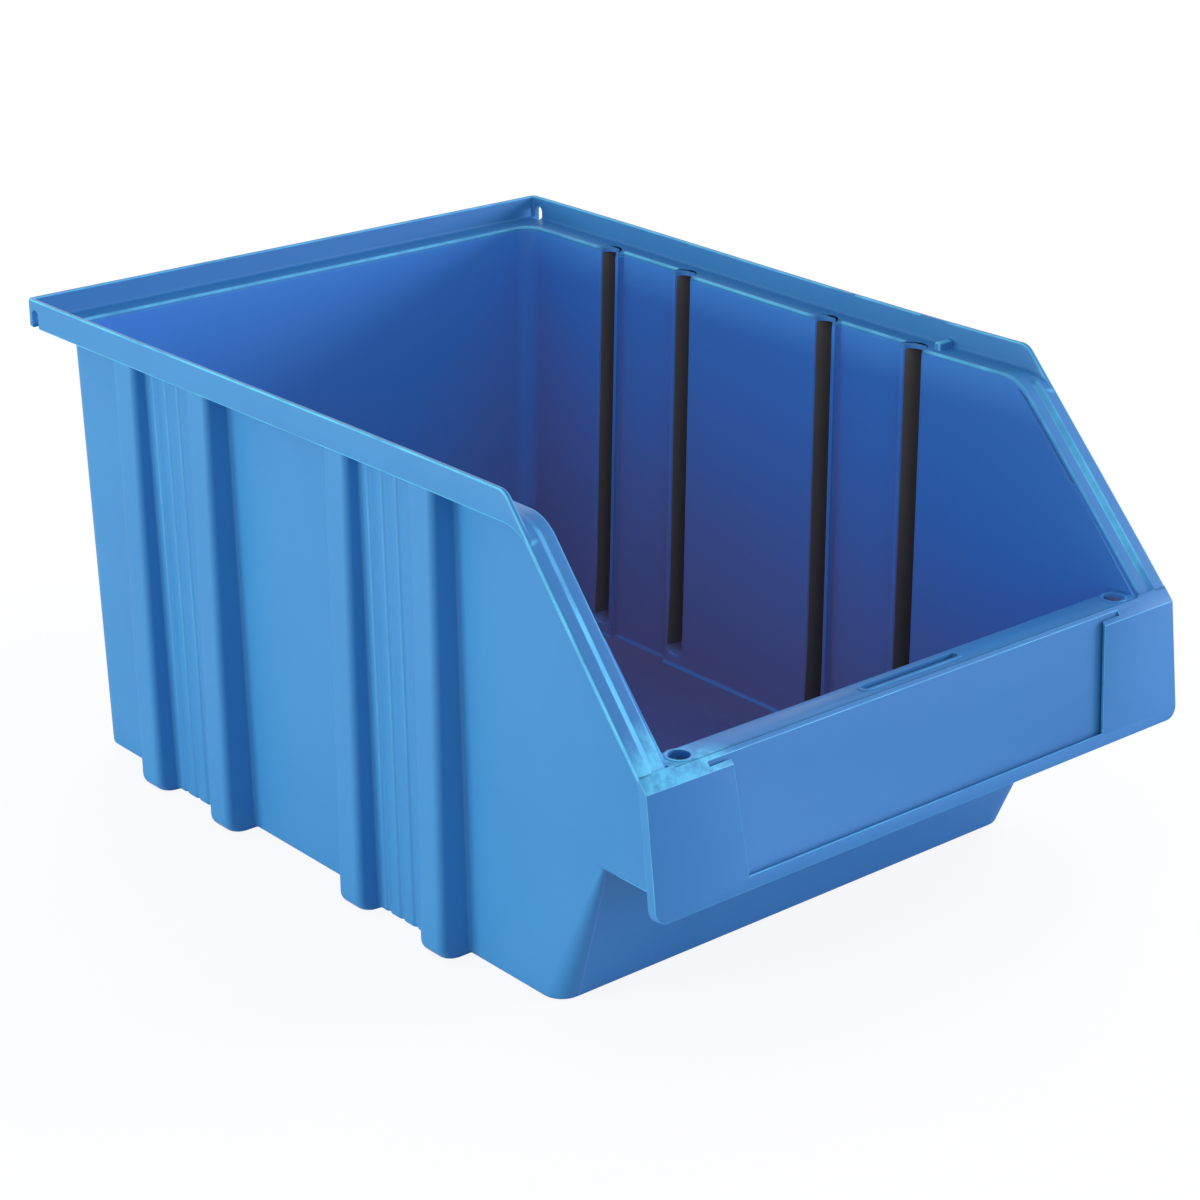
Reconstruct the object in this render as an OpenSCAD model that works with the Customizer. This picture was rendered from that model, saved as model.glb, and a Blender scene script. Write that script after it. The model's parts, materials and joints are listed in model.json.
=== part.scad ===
// Stackable open-front storage bin, one injection moulding in polypropylene.
// Units are millimetres. The front faces -Y, +Z is up, z = 0 is the standing face.
// Every node is one closed feature of the moulding; neighbours meet face to face.

/* [Overall] */
// Width over the rim
body_w = 210; // [180:1:260]
// Length from the label panel's foot to the back lip
body_l = 306; // [280:1:360]
// Height to the top of the rim lip
body_h = 155; // [140:1:190]

/* [Walls] */
// Wall thickness
wall_t = 2; // [1.6:0.1:3]
// Outer half width of the side walls at the standing face
foot_half_w = 92.5; // [80:0.5:110]
// Side wall draft, outward per unit of height
side_draft = 0.026; // [0:0.002:0.05]
// Back wall draft, outward per unit of height
back_draft = 0.008; // [0:0.002:0.05]
// Distance from the back lip's face to the back wall at the standing face
back_inset = 9.3; // [6:0.1:14]
// Outer radius of the two back corners
corner_r = 8; // [4:0.5:14]
// Height of the floor's top face
floor_z = 3.9; // [3:0.1:8]
// Floor thickness
floor_t = 2.4; // [1.6:0.1:4]

/* [Rim] */
// Height of the lip above the ledge it stands on
lip_h = 7.5; // [4:0.5:12]
// Lip thickness
lip_t = 1.7; // [1.2:0.1:3]
// Ledge thickness
ledge_t = 1.8; // [1.2:0.1:3]
// Where the sloping front edge starts, in front of the middle
slope_start = 89.6; // [60:0.2:110]
// Radius of the ledge's bend into the slope
bend_r = 14; // [6:1:30]
// How far the inner strip of the slope lies below the outer one
step_drop = 1; // [0:0.1:1.4]
// Half width at which that step lies
step_x = 99.6; // [97:0.1:102]

/* [Front] */
// Distance in front of the middle where the front wall leaves the standing face
front_foot = 97.6; // [80:0.2:120]
// Forward lean of the lower front wall, per unit of height
front_lean = 0.406; // [0.2:0.01:0.6]
// Height of the label panel's lower edge
panel_z0 = 51.1; // [40:0.1:70]
// Height of the label panel's upper front edge
panel_z1 = 87.5; // [70:0.1:110]
// How far the label panel leans back over its height
panel_lean = 4.5; // [0:0.1:10]
// Label panel thickness
panel_t = 3; // [2.4:0.1:4]
// Radius of the label panel's lower corners
panel_r = 4; // [1:0.5:8]
// Height of the front ledge's top face
front_ledge_z = 90.5; // [76:0.1:116]
// Distance in front of the middle of the front ledge's inner edge
front_ledge_in = 135.9; // [125:0.1:140]

/* [Front ledge holes] */
// Hole diameter
hole_d = 6.4; // [4:0.1:8]
// Hole centre to the middle plane
hole_x = 86.7; // [70:0.1:88]
// Distance of hole and slot centres in front of the middle
hole_y = 140.6; // [139:0.1:142]
// Slot length, end to end
slot_l = 38; // [20:1:80]
// Slot width
slot_w = 2.6; // [1.6:0.1:3.4]

/* [Label pocket] */
// Half width of the pocket's window at its top
window_top = 74.5; // [50:0.5:80]
// Half width of the window at its foot
window_foot = 71.5; // [50:0.5:80]
// Height of the window's foot above the panel's lower edge
window_z = 4; // [3:0.1:10]
// How far the card runs behind the side rails
rail_over = 7.5; // [3:0.5:12]
// How far the card runs behind the foot rail
rail_foot = 2.2; // [1:0.1:4]
// Rail thickness
rail_t = 0.9; // [0.6:0.1:1.2]
// Pocket depth
pocket_t = 1.8; // [1.4:0.1:2]

/* [Divider channels] */
// Centres of the two channel pairs, measured back from the middle
pair_y = [78.7, -31.4];
// Centre distance of the two channels of a pair
pair_pitch = 40; // [30:0.5:60]
// Width of a channel outside
channel_w = 11; // [9:0.5:16]
// Width of the groove inside it
groove_w = 7.4; // [4:0.1:10]
// Half width over the channels at the standing face
channel_half_w = 103.2; // [98:0.1:103.6]
// Channel draft, outward per unit of height
channel_draft = 0.01; // [0:0.002:0.01]
// Height of the groove's foot
groove_z = 8; // [6:0.5:20]
// Radius on a channel's lower outer edge
channel_r = 4.5; // [1:0.5:8]
// How far the panel between a pair stands out of the wall
pad_out = 2.5; // [1:0.1:4]
// Depth of the groove's mouth in the ledge
mouth_depth = 4; // [3:0.1:5]

/* [Flutes] */
// Flute centres on the panel between a pair, measured back from its middle
flute_y = [10.05, 3.35, -3.35, -10.05];
// Flute width
flute_w = 1.7; // [0.8:0.1:3]
// Flute depth
flute_t = 0.6; // [0.3:0.1:1]

/* [Small features] */
// Distance of the stacking lugs in front of the middle
lug_y = 59; // [58:1:85]
// Lug length across the ledge
lug_l = 6; // [3:0.5:8]
// Lug thickness and height
lug_s = 2.4; // [1:0.1:4]
// Width of the rail notches at the back corners
notch_w = 3.8; // [3:0.1:6]
// Distance from the back lip's face to the notch's middle
notch_in = 4.6; // [4:0.1:8]
// Height of the notch's crown below the lip's top
notch_top = 3.2; // [2:0.1:5]

/* [Hidden] */
$fn = 64;
eps = 0.01;
far = 400;
half_w = body_w / 2;
y_back = body_l / 2;
y_front = -body_l / 2;
ledge_z = body_h - lip_h;
wall_z = ledge_z - ledge_t;
lip_x = half_w - lip_t;
back_y0 = y_back - back_inset;
inner_ledge_x = foot_half_w - wall_t + side_draft * ledge_z;
inner_ledge_y = back_y0 - wall_t + back_draft * ledge_z;
inner_r = corner_r - wall_t;

// The label panel in the Y-Z plane: front foot, front top, and the lean as an angle.
panel_foot = [y_front, panel_z0];
panel_top = [y_front + panel_lean, panel_z1];
lean_k = panel_lean / (panel_z1 - panel_z0);
lean_deg = atan(lean_k);

// The slope's plane runs from the lip's top to the label panel's upper front edge.
slope_top = [-slope_start, body_h];
slope_k = (slope_top[1] - panel_top[1]) / (slope_top[0] - panel_top[0]);
slope_deg = atan(slope_k);

// Knee of the front wall, level with the label panel's lower edge.
knee = [-front_foot - front_lean * panel_z0, panel_z0];
front_top = [-front_ledge_in - wall_t, front_ledge_z - ledge_t];
front_skin = wall_t * sqrt(1 + front_lean * front_lean);

channel_ys = [for (p = pair_y) for (s = [0.5, -0.5]) p + s * pair_pitch];

function slope_z(y, drop) = slope_top[1] + slope_k * (y - slope_top[0]) - drop / cos(slope_deg);
function slope_y(z, drop) = slope_top[0] + (z - slope_top[1] + drop / cos(slope_deg)) / slope_k;
function panel_back_y(z) = y_front + panel_t + lean_k * (z - panel_z0);

// Centre of the bend, for a slope lying "drop" below the lip's slope.
function bend_c(drop) =
    [slope_y(ledge_z, drop) + bend_r * tan(slope_deg / 2), ledge_z - bend_r];
function bend_arc(drop, r) =
    [for (i = [0:12]) bend_c(drop) + r * [cos(90 + slope_deg * i / 12), sin(90 + slope_deg * i / 12)]];
function flipped(v) = [for (i = [len(v) - 1:-1:0]) v[i]];
// A line that follows the ledge, its bend and the slope, "sink" below the ledge's top face.
function ledge_line(drop, sink) = concat(
    [[far, ledge_z - sink]],
    bend_arc(drop, bend_r - sink),
    [[-far, slope_z(-far, drop + sink)]]);

// Extrudes a Y-Z outline along X, or an X-Z outline along Y.
module along_x(x0, x1) translate([x0, 0, 0]) rotate([90, 0, 90]) linear_extrude(x1 - x0) children();
module along_y(y0, y1) translate([0, y1, 0]) rotate([90, 0, 0]) linear_extrude(y1 - y0) children();
module both_sides() { children(); mirror([1, 0, 0]) children(); }

// Everything inward of a drafted left face, between two heights.
module inward(half0, draft, y0, y1, z0, z1)
    along_y(y0, y1)
        polygon([[0, z0], [-half0 - draft * z0, z0], [-half0 - draft * z1, z1], [0, z1]]);
module inward_of_outer(y0, y1, z0 = 0, z1 = wall_z, out = 0)
    inward(foot_half_w + out, side_draft, y0, y1, z0, z1);
module inward_of_inner(y0, y1, z0 = -1, z1 = far, out = 0)
    inward(foot_half_w - wall_t + out, side_draft, y0, y1, z0, z1);

// Outline of a side seen from the left: everything under the ledge line and behind the panel.
module side_outline()
    intersection() {
        polygon(concat(ledge_line(0, ledge_t), [[-far, 0], [far, 0]]));
        polygon([[-front_foot, 0], knee, [panel_back_y(panel_z0), panel_z0],
                 [panel_back_y(body_h), body_h], [far, body_h], [far, 0]]);
    }

// The left back corner leans with both walls that meet in it.
module corner_frame()
    translate([-foot_half_w + corner_r, back_y0 - corner_r, 0])
        rotate([-atan(back_draft), -atan(side_draft), 0]) children();
module corner_block() corner_frame() translate([-far, 0, -far]) cube([far, far, 2 * far]);
module corner_post()
    intersection() {
        corner_frame() difference() {
            cylinder(r = corner_r, h = 2 * body_h, center = true);
            cylinder(r = inner_r, h = 3 * body_h, center = true);
        }
        corner_block();
        translate([-far, 0, 0]) cube([far, far, wall_z]);
    }

// A stretch of the left wall between two stations.
module wall_stretch(y0, y1)
    difference() {
        intersection() {
            inward_of_outer(y0, y1);
            along_x(-half_w, 0) side_outline();
        }
        inward_of_inner(y0 - 1, y1 + 1);
        corner_block();
    }

// One divider channel: a hollow rib outside, a groove inside.
module groove_outline() {
    translate([-groove_w / 2, groove_z + 2]) square([groove_w, far]);
    translate([-groove_w / 2 + 2, groove_z]) square([groove_w - 4, far]);
    for (s = [-1, 1]) translate([s * (groove_w / 2 - 2), groove_z + 2]) circle(2);
}
module channel(y)
    difference() {
        inward(channel_half_w, channel_draft, y - channel_w / 2, y + channel_w / 2, 0, wall_z);
        intersection() {
            inward(channel_half_w - wall_t, channel_draft, y - channel_w, y + channel_w, -1, far);
            translate([0, y, 0]) along_x(-half_w, 0) groove_outline();
        }
        inward_of_inner(y - channel_w, y + channel_w);
        along_y(y - channel_w, y + channel_w) difference() {
            translate([-half_w - 1, -1]) square([half_w - channel_half_w + channel_r + 1, channel_r + 1]);
            translate([-channel_half_w + channel_r, channel_r]) circle(channel_r);
        }
    }

// The panel between the two channels of a pair, with shallow upright flutes outside.
module pad(y)
    difference() {
        span = (pair_pitch - channel_w) / 2;
        inward_of_outer(y - span, y + span, out = pad_out + flute_t);
        for (f = flute_y)
            difference() {
                along_x(-half_w, 0) translate([y + f - flute_w / 2, -1]) square([flute_w, far]);
                inward_of_outer(y - far, y + far, z0 = -2, z1 = far, out = pad_out);
            }
        inward_of_inner(y - far, y + far, z1 = floor_z + eps);
        inward_of_inner(y - far, y + far, z0 = floor_z, out = pad_out);
    }

// The left ledge, its bend and the slope's flange; the inner strip of the slope lies lower.
module flange_strip(x0, x1, drop)
    along_x(x0, x1) intersection() {
        polygon(concat(ledge_line(drop, 0), flipped(ledge_line(drop, ledge_t))));
        polygon([[panel_back_y(0), 0], [panel_back_y(body_h), body_h],
                 [back_y0 - corner_r, body_h], [back_y0 - corner_r, 0]]);
    }
module side_flange()
    difference() {
        span = (pair_pitch - channel_w) / 2;
        union() {
            flange_strip(-lip_x, -step_x, 0);
            flange_strip(-step_x, 0, step_drop);
        }
        inward_of_inner(-far, far);
        for (y = pair_y)
            translate([-inner_ledge_x - pad_out, y - span, wall_z - 1])
                cube([far, 2 * span, ledge_t + 2]);
        for (y = channel_ys)
            translate([-inner_ledge_x - mouth_depth + groove_w / 2, y, wall_z - 1]) {
                cylinder(d = groove_w, h = ledge_t + 2);
                translate([0, -groove_w / 2, 0]) cube([groove_w, groove_w, ledge_t + 2]);
            }
    }

// The notch at a back corner through which a louvre or rail passes behind the lip.
module rail_notch() {
    crown = body_h - notch_top - notch_w / 2;
    translate([-half_w - 1, y_back - notch_in, 0]) {
        translate([0, 0, crown]) rotate([0, 90, 0]) cylinder(d = notch_w, h = lip_t + 3);
        translate([0, -notch_w / 2, wall_z - 1]) cube([lip_t + 3, notch_w, crown - wall_z + 1]);
    }
}
module side_lip()
    difference() {
        along_x(-half_w, -lip_x) intersection() {
            polygon([[-far, slope_z(-far, 0)], slope_top, [y_back - lip_t, body_h],
                     [y_back - lip_t, -far]]);
            polygon(concat(flipped(ledge_line(0, ledge_t)), [[far, far], [-far, far]]));
            polygon([[panel_back_y(0), 0], [panel_back_y(far), far], [far, far], [far, 0]]);
        }
        rail_notch();
    }

// Label panel frame: x across, y into the panel, z up its face from the lower edge.
module on_panel() translate([0, panel_foot[0], panel_foot[1]]) rotate([-lean_deg, 0, 0]) children();
module panel_solid() {
    difference() {
        along_x(-half_w, half_w)
            intersection() {
                polygon([panel_foot, [panel_foot[0] + lean_k * far, panel_z0 + far],
                         [panel_back_y(panel_z0 + far), panel_z0 + far], [panel_back_y(panel_z0), panel_z0]]);
                polygon([[-far, slope_z(-far, 0)], slope_top, [0, -far]]);
            }
        translate([-window_top - 18, -far, front_ledge_z]) cube([2 * (window_top + 18), far, far]);
        both_sides() on_panel() translate([-half_w, -1, 0]) difference() {
            translate([-1, 0, -1]) cube([panel_r + 1, panel_t + 2, panel_r + 1]);
            translate([panel_r, -1, panel_r]) rotate([-90, 0, 0]) cylinder(r = panel_r, h = panel_t + 4);
        }
    }
}
module window_outline(grow, foot) {
    face_h = (front_ledge_z - panel_z0) / cos(lean_deg);
    k = (window_top - window_foot) / (face_h - window_z);
    function half(z) = window_foot + grow + k * (z - window_z);
    polygon([[-half(foot), foot], [half(foot), foot], [half(2 * face_h), 2 * face_h],
             [-half(2 * face_h), 2 * face_h]]);
}
module pocket(y0, y1, grow, foot) on_panel() along_y(y0, y1) window_outline(grow, foot);
module rail_ring()
    intersection() {
        difference() {
            pocket(0, rail_t, rail_over, window_z - rail_foot);
            pocket(-1, rail_t + 1, 0, window_z);
        }
        panel_solid();
    }

module floor_panel() color("#2f6fb8")
    intersection() {
        both_sides() difference() {
            inward_of_inner(-far, back_y0 - wall_t, floor_z - floor_t, floor_z);
            corner_frame() translate([-far, 0, -far]) difference() {
                cube([far, far, 2 * far]);
                translate([far, 0, 0]) cylinder(r = inner_r, h = 3 * far);
            }
        }
        along_x(-half_w, half_w)
            polygon([[-front_foot + front_skin, 0], knee + [front_skin, 0], [far, panel_z0], [far, 0]]);
    }
module back_wall() color("#2f6fb8")
    difference() {
        along_x(-half_w, half_w)
            polygon([[back_y0 - wall_t, 0], [back_y0, 0], [back_y0 + back_draft * wall_z, wall_z],
                     [back_y0 - wall_t + back_draft * wall_z, wall_z]]);
        both_sides() corner_block();
    }
module front_wall() color("#2f6fb8")
    intersection() {
        along_x(-half_w, half_w)
            polygon([[-front_foot, 0], knee, front_top, front_top + [front_skin, 0],
                     knee + [front_skin, 0], [-front_foot + front_skin, 0]]);
        both_sides() inward_of_inner(-far, 0, 0, wall_z);
    }
module corner_left() color("#2f6fb8") corner_post();
module corner_right() color("#2f6fb8") mirror([1, 0, 0]) corner_post();

wall_cuts = [far, pair_y[0] + (pair_pitch + channel_w) / 2, pair_y[0] - (pair_pitch + channel_w) / 2,
             pair_y[1] + (pair_pitch + channel_w) / 2, pair_y[1] - (pair_pitch + channel_w) / 2, -far];
module wall_part(i) color("#3a86cf") wall_stretch(wall_cuts[2 * i + 1], wall_cuts[2 * i]);
module channel_part(i) color("#3f8fd8") channel(channel_ys[i]);
module pad_part(i) color("#3a86cf") pad(pair_y[i]);
module flange_part() color("#4a9ade") side_flange();
module lip_part() color("#55a8e6") side_lip();
module lug_part() color("#55a8e6")
    translate([-lip_x, -lug_y - lug_s / 2, ledge_z]) cube([lug_l, lug_s, lug_s]);

module back_flange() color("#4a9ade")
    difference() {
        translate([0, 0, wall_z]) linear_extrude(ledge_t) difference() {
            translate([-lip_x, back_y0 - corner_r]) square([2 * lip_x, y_back - lip_t - back_y0 + corner_r]);
            translate([-inner_ledge_x, 0]) square([2 * inner_ledge_x, inner_ledge_y - inner_r]);
            translate([-inner_ledge_x + inner_r, 0]) square([2 * (inner_ledge_x - inner_r), inner_ledge_y]);
            for (s = [-1, 1])
                translate([s * (inner_ledge_x - inner_r), inner_ledge_y - inner_r]) circle(inner_r);
        }
        both_sides() rail_notch();
    }
module back_lip() color("#55a8e6")
    translate([-half_w, y_back - lip_t, wall_z]) cube([body_w, lip_t, lip_h + ledge_t]);

module front_ledge() color("#4a9ade")
    difference() {
        union() {
            intersection() {
                along_x(-half_w, half_w)
                    polygon([[panel_back_y(front_ledge_z - ledge_t), front_ledge_z - ledge_t],
                             [panel_back_y(front_ledge_z), front_ledge_z],
                             [-front_ledge_in, front_ledge_z], [-front_ledge_in, front_ledge_z - ledge_t]]);
                both_sides() inward_of_inner(-far, 0);
            }
            translate([0, -hole_y, front_ledge_z]) linear_extrude(0.4) slot_outline(slot_w + 2);
        }
        both_sides() translate([-hole_x, -hole_y, 0]) cylinder(d = hole_d, h = body_h);
        translate([0, -hole_y, 0]) linear_extrude(body_h) slot_outline(slot_w);
    }
module slot_outline(w) {
    reach = (slot_l - slot_w) / 2;
    for (s = [-1, 1]) translate([s * reach, 0]) circle(d = w);
    translate([-reach, -w / 2]) square([2 * reach, w]);
}
module label_panel() color("#3577c4")
    difference() {
        panel_solid();
        pocket(-1, pocket_t, rail_over, window_z - rail_foot);
    }
module rail_left() color("#3577c4")
    intersection() {
        rail_ring();
        on_panel() translate([-far, -1, window_z]) cube([far, panel_t, far]);
    }
module rail_right() color("#3577c4") mirror([1, 0, 0]) rail_left();
module rail_foot_strip() color("#3577c4")
    intersection() {
        rail_ring();
        on_panel() translate([-far, -1, 0]) cube([2 * far, panel_t, window_z]);
    }

floor_panel();
back_wall();
front_wall();
corner_left();
corner_right();
wall_part(0);  // wall_left_rear
wall_part(1);  // wall_left_mid
wall_part(2);  // wall_left_front
mirror([1, 0, 0]) wall_part(0);  // wall_right_rear
mirror([1, 0, 0]) wall_part(1);  // wall_right_mid
mirror([1, 0, 0]) wall_part(2);  // wall_right_front
channel_part(0);  // channel_left_1
channel_part(1);  // channel_left_2
channel_part(2);  // channel_left_3
channel_part(3);  // channel_left_4
mirror([1, 0, 0]) channel_part(0);  // channel_right_1
mirror([1, 0, 0]) channel_part(1);  // channel_right_2
mirror([1, 0, 0]) channel_part(2);  // channel_right_3
mirror([1, 0, 0]) channel_part(3);  // channel_right_4
pad_part(0);  // pad_left_rear
pad_part(1);  // pad_left_front
mirror([1, 0, 0]) pad_part(0);  // pad_right_rear
mirror([1, 0, 0]) pad_part(1);  // pad_right_front
flange_part();  // flange_left
mirror([1, 0, 0]) flange_part();  // flange_right
back_flange();
lip_part();  // lip_left
mirror([1, 0, 0]) lip_part();  // lip_right
back_lip();
lug_part();  // lug_left
mirror([1, 0, 0]) lug_part();  // lug_right
front_ledge();
label_panel();
rail_left();
rail_right();
rail_foot_strip();  // rail_foot
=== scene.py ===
import bpy, bmesh, json, math
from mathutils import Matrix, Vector

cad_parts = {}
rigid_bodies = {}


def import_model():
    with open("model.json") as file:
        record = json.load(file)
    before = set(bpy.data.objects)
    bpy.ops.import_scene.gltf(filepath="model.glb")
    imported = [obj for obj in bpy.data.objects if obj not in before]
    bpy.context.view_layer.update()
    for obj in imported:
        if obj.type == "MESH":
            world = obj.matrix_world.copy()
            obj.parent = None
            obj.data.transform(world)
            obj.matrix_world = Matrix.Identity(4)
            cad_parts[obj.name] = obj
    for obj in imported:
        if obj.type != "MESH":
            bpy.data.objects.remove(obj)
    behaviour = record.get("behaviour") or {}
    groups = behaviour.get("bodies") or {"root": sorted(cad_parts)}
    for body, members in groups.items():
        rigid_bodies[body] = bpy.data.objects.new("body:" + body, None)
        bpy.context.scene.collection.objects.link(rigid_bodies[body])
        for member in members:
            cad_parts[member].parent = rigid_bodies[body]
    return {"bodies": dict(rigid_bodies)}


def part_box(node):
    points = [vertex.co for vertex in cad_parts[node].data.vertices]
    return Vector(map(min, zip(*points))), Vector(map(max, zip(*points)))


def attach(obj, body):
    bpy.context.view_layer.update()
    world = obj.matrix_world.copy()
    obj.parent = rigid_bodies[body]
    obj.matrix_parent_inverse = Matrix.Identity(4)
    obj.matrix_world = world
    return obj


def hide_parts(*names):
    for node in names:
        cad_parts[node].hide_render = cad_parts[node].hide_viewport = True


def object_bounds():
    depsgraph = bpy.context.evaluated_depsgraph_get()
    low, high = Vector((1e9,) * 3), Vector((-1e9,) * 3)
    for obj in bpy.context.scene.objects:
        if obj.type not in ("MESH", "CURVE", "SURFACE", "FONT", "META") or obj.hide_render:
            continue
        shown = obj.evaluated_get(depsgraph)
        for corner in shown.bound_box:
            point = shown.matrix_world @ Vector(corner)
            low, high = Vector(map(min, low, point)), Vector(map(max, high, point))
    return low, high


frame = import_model()
cad_low, cad_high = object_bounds()

# A stackable open-front storage bin, one blue polypropylene moulding. Its places come from the
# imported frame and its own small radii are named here. Lengths are in millimetres until a mesh is
# made. "u" is the distance from the middle plane, so one outline serves both sides.

MM = 0.001
BODY = list(frame["bodies"])[0]
SIDES = {"left": -1, "right": 1}


def node_box(node):
    low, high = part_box(node)
    return [c / MM for c in low], [c / MM for c in high]


# ---------------------------------------------------------------- places read from the frame
wall_low, wall_high = node_box("wall_right_mid")
floor_low, floor_high = node_box("floor_panel")
back_low, back_high = node_box("back_wall")
lip_low, lip_high = node_box("back_lip")
ledge_low, ledge_high = node_box("back_flange")
rib_low, rib_high = node_box("channel_right_1")
front_low, front_high = node_box("front_wall")
shelf_high = node_box("front_ledge")[1]

HALF_W, BACK_Y, TOP_Z = cad_high.x / MM, cad_high.y / MM, cad_high.z / MM
FRONT_Y = cad_low.y / MM
WALL_T = 2.0
LIP_T = lip_high[1] - lip_low[1]
LIP_U = HALF_W - LIP_T
LEDGE_Z, UNDER_Z = ledge_high[2], ledge_low[2]
LEDGE_T = LEDGE_Z - UNDER_Z
FOOT_IN = wall_low[0]
FOOT_OUT = FOOT_IN + WALL_T
DRAFT = (wall_high[0] - FOOT_OUT) / UNDER_Z
BACK_IN = back_low[1]
BACK_DRAFT = (back_high[1] - BACK_IN - WALL_T) / UNDER_Z
CORNER_Y = node_box("corner_right")[0][1]
CORNER_R = BACK_IN + WALL_T - CORNER_Y
FLOOR_Z, FLOOR_UNDER = floor_high[2], floor_low[2]

RIB_DRAFT = 0.01
RIB_FOOT = rib_high[0] - RIB_DRAFT * UNDER_Z
RIB_HALF = (rib_high[1] - rib_low[1]) / 2
RIB_YS = [sum(node_box("channel_right_%d" % i)[k][1] for k in (0, 1)) / 2 for i in (1, 2, 3, 4)]
PAD_YS = [sum(node_box("pad_right_" + n)[k][1] for k in (0, 1)) / 2 for n in ("rear", "front")]
PAD_OUT, FLUTE_DEEP = 2.5, 0.6
FLUTE_AT = (10.05, 3.35, -3.35, -10.05)
GROOVE_HALF, GROOVE_Z = 3.7, 8.0
MOUTH_DEEP = 4.0

FRONT_SKIN = 2.16
FRONT_FOOT = FRONT_SKIN - front_high[1]
SLOPE_TOP_Y = -89.6
PANEL_TOP_Z = 87.5
PANEL_LEAN = 4.5
PANEL_T = 3.0
PANEL_Z0 = node_box("label_panel")[0][2]
SHELF_Z, SHELF_IN = shelf_high[2], shelf_high[1]
STEP_U, STEP_DROP, STEP_HALF, STRIPE_START = 99.6, 1.0, 0.95, -97.0
BEND_R = 14.0
HOLE_U, HOLE_Y, HOLE_R = 86.7, -140.6, 3.2
SLOT_HALF, SLOT_R = 19.0, 1.3
KNEE = (-118.35, PANEL_Z0)
NOTCH_Y, NOTCH_HALF, NOTCH_CROWN = BACK_Y - 4.6, 1.9, TOP_Z - 3.2 - 1.9

SLOPE_K = (TOP_Z - PANEL_TOP_Z) / (SLOPE_TOP_Y - (FRONT_Y + PANEL_LEAN))
SLOPE_A = math.atan(SLOPE_K)
LEAN_K = PANEL_LEAN / (PANEL_TOP_Z - PANEL_Z0)
LEAN_A = math.atan(LEAN_K)
FRONT_LEAN = (KNEE[0] + FRONT_FOOT) / KNEE[1]

# ---------------------------------------------------------------- the moulding's warp
# The long sides bow inward between the back corner and the label panel, the right one more, and
# most about where the slope begins.
BOW = {1: 4.3, -1: 1.2}
BOW_BACK, BOW_FRONT, BOW_SKEW = 140.0, -145.0, 1.6


def bowed(x, y, z):
    """x of a point once its side has bowed inward, more towards the rim."""
    if not BOW_FRONT < y < BOW_BACK:
        return x
    along = math.sin(math.pi * ((BOW_BACK - y) / (BOW_BACK - BOW_FRONT)) ** BOW_SKEW)
    up = max(z, 0) / TOP_Z
    across = min(1.0, abs(x) / FOOT_IN) ** 2
    side = 1 if x > 0 else -1
    return x - side * BOW[side] * along * up * across


# ---------------------------------------------------------------- mesh helpers
CREASE = 38.0
WELD, SLIVER = 2e-6, 1e-6


def make_object(name, verts, faces, sharp=CREASE, warp=True, shaded=(), flat=()):
    """A closed mesh from millimetre points, welded, facing outward, smooth but for its creases.
    Faces numbered in "shaded" take the second material, and those in "flat" are never smooth."""
    if warp:
        verts = [(bowed(*v), v[1], v[2]) for v in verts]
    bm = bmesh.new()
    made = [bm.verts.new([c * MM for c in v]) for v in verts]
    for number, face in enumerate(faces):
        new_face = bm.faces.new([made[i] for i in face])
        new_face.material_index = 1 if number in shaded else 0
        new_face.smooth = number not in flat
    bmesh.ops.remove_doubles(bm, verts=bm.verts, dist=WELD)
    bmesh.ops.dissolve_degenerate(bm, edges=bm.edges, dist=SLIVER)
    bmesh.ops.recalc_face_normals(bm, faces=bm.faces)
    mesh = bpy.data.meshes.new(name)
    bm.to_mesh(mesh)
    bm.free()
    crease(mesh, sharp)
    obj = bpy.data.objects.new(name, mesh)
    bpy.context.scene.collection.objects.link(obj)
    return obj


def crease(mesh, sharp):
    mesh.set_sharp_from_angle(angle=math.radians(sharp))
    mesh.update()


def finish_shading(mesh, sharp):
    mesh.polygons.foreach_set("use_smooth", [True] * len(mesh.polygons))
    crease(mesh, sharp)


def is_cap(face):
    """Tells a face with many corners or a flat one, which is no smooth part of the surface."""
    return len(face.verts) > 8 or not face.smooth


def mark_surface(mesh):
    """Stores two things for the material at each point: how tightly rounded a convex edge is, as that is
    where the edge is painted paler, a painted highlight together with wear, and whether the point faces the
    inside of the bin, where painted shade goes."""
    bm = bmesh.new()
    bm.from_mesh(mesh)
    wear_and_highlight, inside = [0.0] * len(bm.verts), []
    for edge in bm.edges:
        if len(edge.link_faces) != 2 or not edge.is_convex:
            continue
        if any(is_cap(face) for face in edge.link_faces):
            continue
        width = max(face.calc_area() for face in edge.link_faces) / max(edge.calc_length(), 1e-7)
        tightness = edge.calc_face_angle(0.0) / max(width / MM, 1e-3)
        amount = min(max((tightness - 0.5) / 0.6, 0.0), 1.0)
        for v in edge.verts:
            wear_and_highlight[v.index] = max(wear_and_highlight[v.index], amount)
    for v in bm.verts:
        x, y, z = [c / MM for c in v.co]
        in_mouth = abs(x) < STEP_U and min(abs(y - rib_y) for rib_y in RIB_YS) < RIB_HALF
        below_panel = z < PANEL_Z0 + 1 and y > KNEE[0] - 5
        wear_and_highlight[v.index] = 0.0 if in_mouth or below_panel else max(wear_and_highlight[v.index], slope_painted_highlight(x, y, z))
        # The caps at a piece's ends meet their neighbours and don't count as its surface.
        around = [face.normal for face in v.link_faces if not is_cap(face)] or [v.normal]
        normal = sum(around, Vector()).normalized()
        inside.append(1.0 if faces_inside(x, y, z, normal) else 0.0)
    bm.free()
    for name, values in (("wear_and_highlight", wear_and_highlight), ("inside", inside)):
        store = mesh.attributes.new(name, "FLOAT", "POINT")
        store.data.foreach_set("value", values)


NEAR_WALL, TURNED = 8, 0.3


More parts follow.
